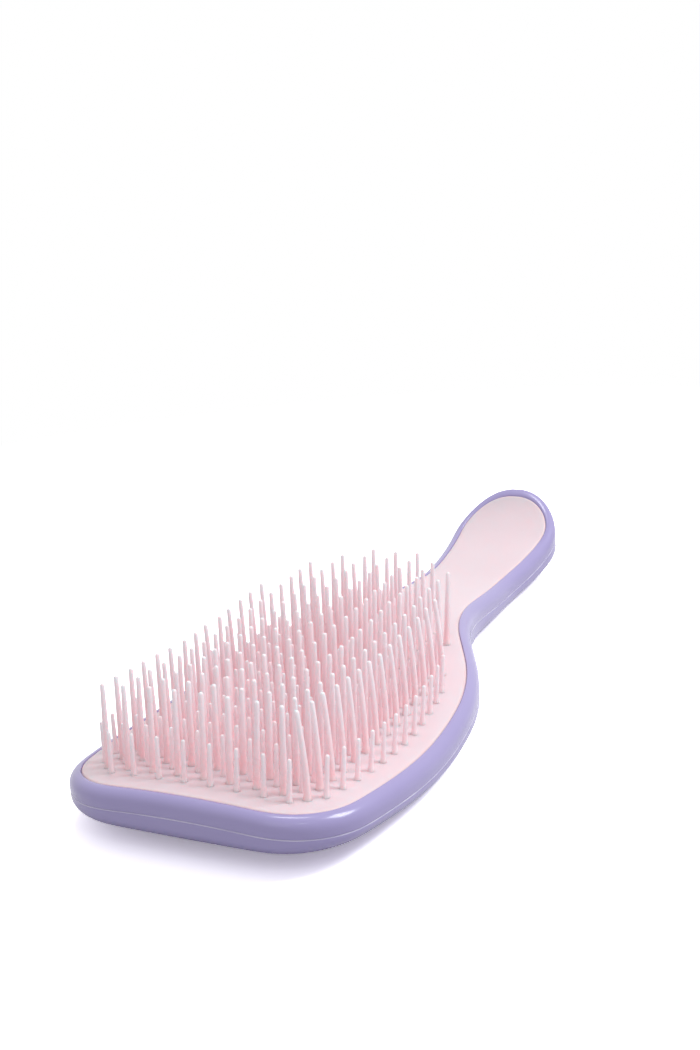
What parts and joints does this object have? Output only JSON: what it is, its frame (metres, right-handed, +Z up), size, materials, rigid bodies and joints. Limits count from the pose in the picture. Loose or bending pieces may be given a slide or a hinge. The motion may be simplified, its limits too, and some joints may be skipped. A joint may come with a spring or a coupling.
{
  "type": "detangling hair brush",
  "caption": "Paddle detangling brush: hollow glossy shell and rim frame round one soft-coloured face pad that carries long and short flexible bristles.",
  "frame": {"origin": "centre of the overall plan at the lowest points of the back, where the brush lies on a table", "axes": "+X across the head, +Y from the front edge towards the end of the handle, +Z up through the bristles"},
  "size_m": [0.0856, 0.228, 0.0366],
  "materials": {
    "shell": "glossy lilac moulding",
    "pad": "satin pale pink moulding",
    "bristle": "satin pale pink, slightly translucent"
  },
  "bodies": {
    "root": {"back_shell": "shell", "face_pad": "pad", "long_bristles_row_01": "bristle", "long_bristles_row_02": "bristle", "long_bristles_row_03": "bristle", "long_bristles_row_04": "bristle", "long_bristles_row_05": "bristle", "long_bristles_row_06": "bristle", "long_bristles_row_07": "bristle", "long_bristles_row_08": "bristle", "long_bristles_row_09": "bristle", "long_bristles_row_10": "bristle", "long_bristles_row_11": "bristle", "long_bristles_row_12": "bristle", "long_bristles_row_13": "bristle", "long_bristles_row_14": "bristle", "long_bristles_row_15": "bristle", "long_bristles_row_16": "bristle", "long_bristles_row_17": "bristle", "long_bristles_row_18": "bristle", "long_bristles_row_19": "bristle", "rim_frame": "shell", "short_bristles_row_01": "bristle", "short_bristles_row_02": "bristle", "short_bristles_row_03": "bristle", "short_bristles_row_04": "bristle", "short_bristles_row_05": "bristle", "short_bristles_row_06": "bristle", "short_bristles_row_07": "bristle", "short_bristles_row_08": "bristle", "short_bristles_row_09": "bristle", "short_bristles_row_10": "bristle", "short_bristles_row_11": "bristle", "short_bristles_row_12": "bristle", "short_bristles_row_13": "bristle", "short_bristles_row_14": "bristle", "short_bristles_row_15": "bristle", "short_bristles_row_16": "bristle", "short_bristles_row_17": "bristle", "short_bristles_row_18": "bristle", "short_bristles_row_19": "bristle"}
  },
  "joints": []
}
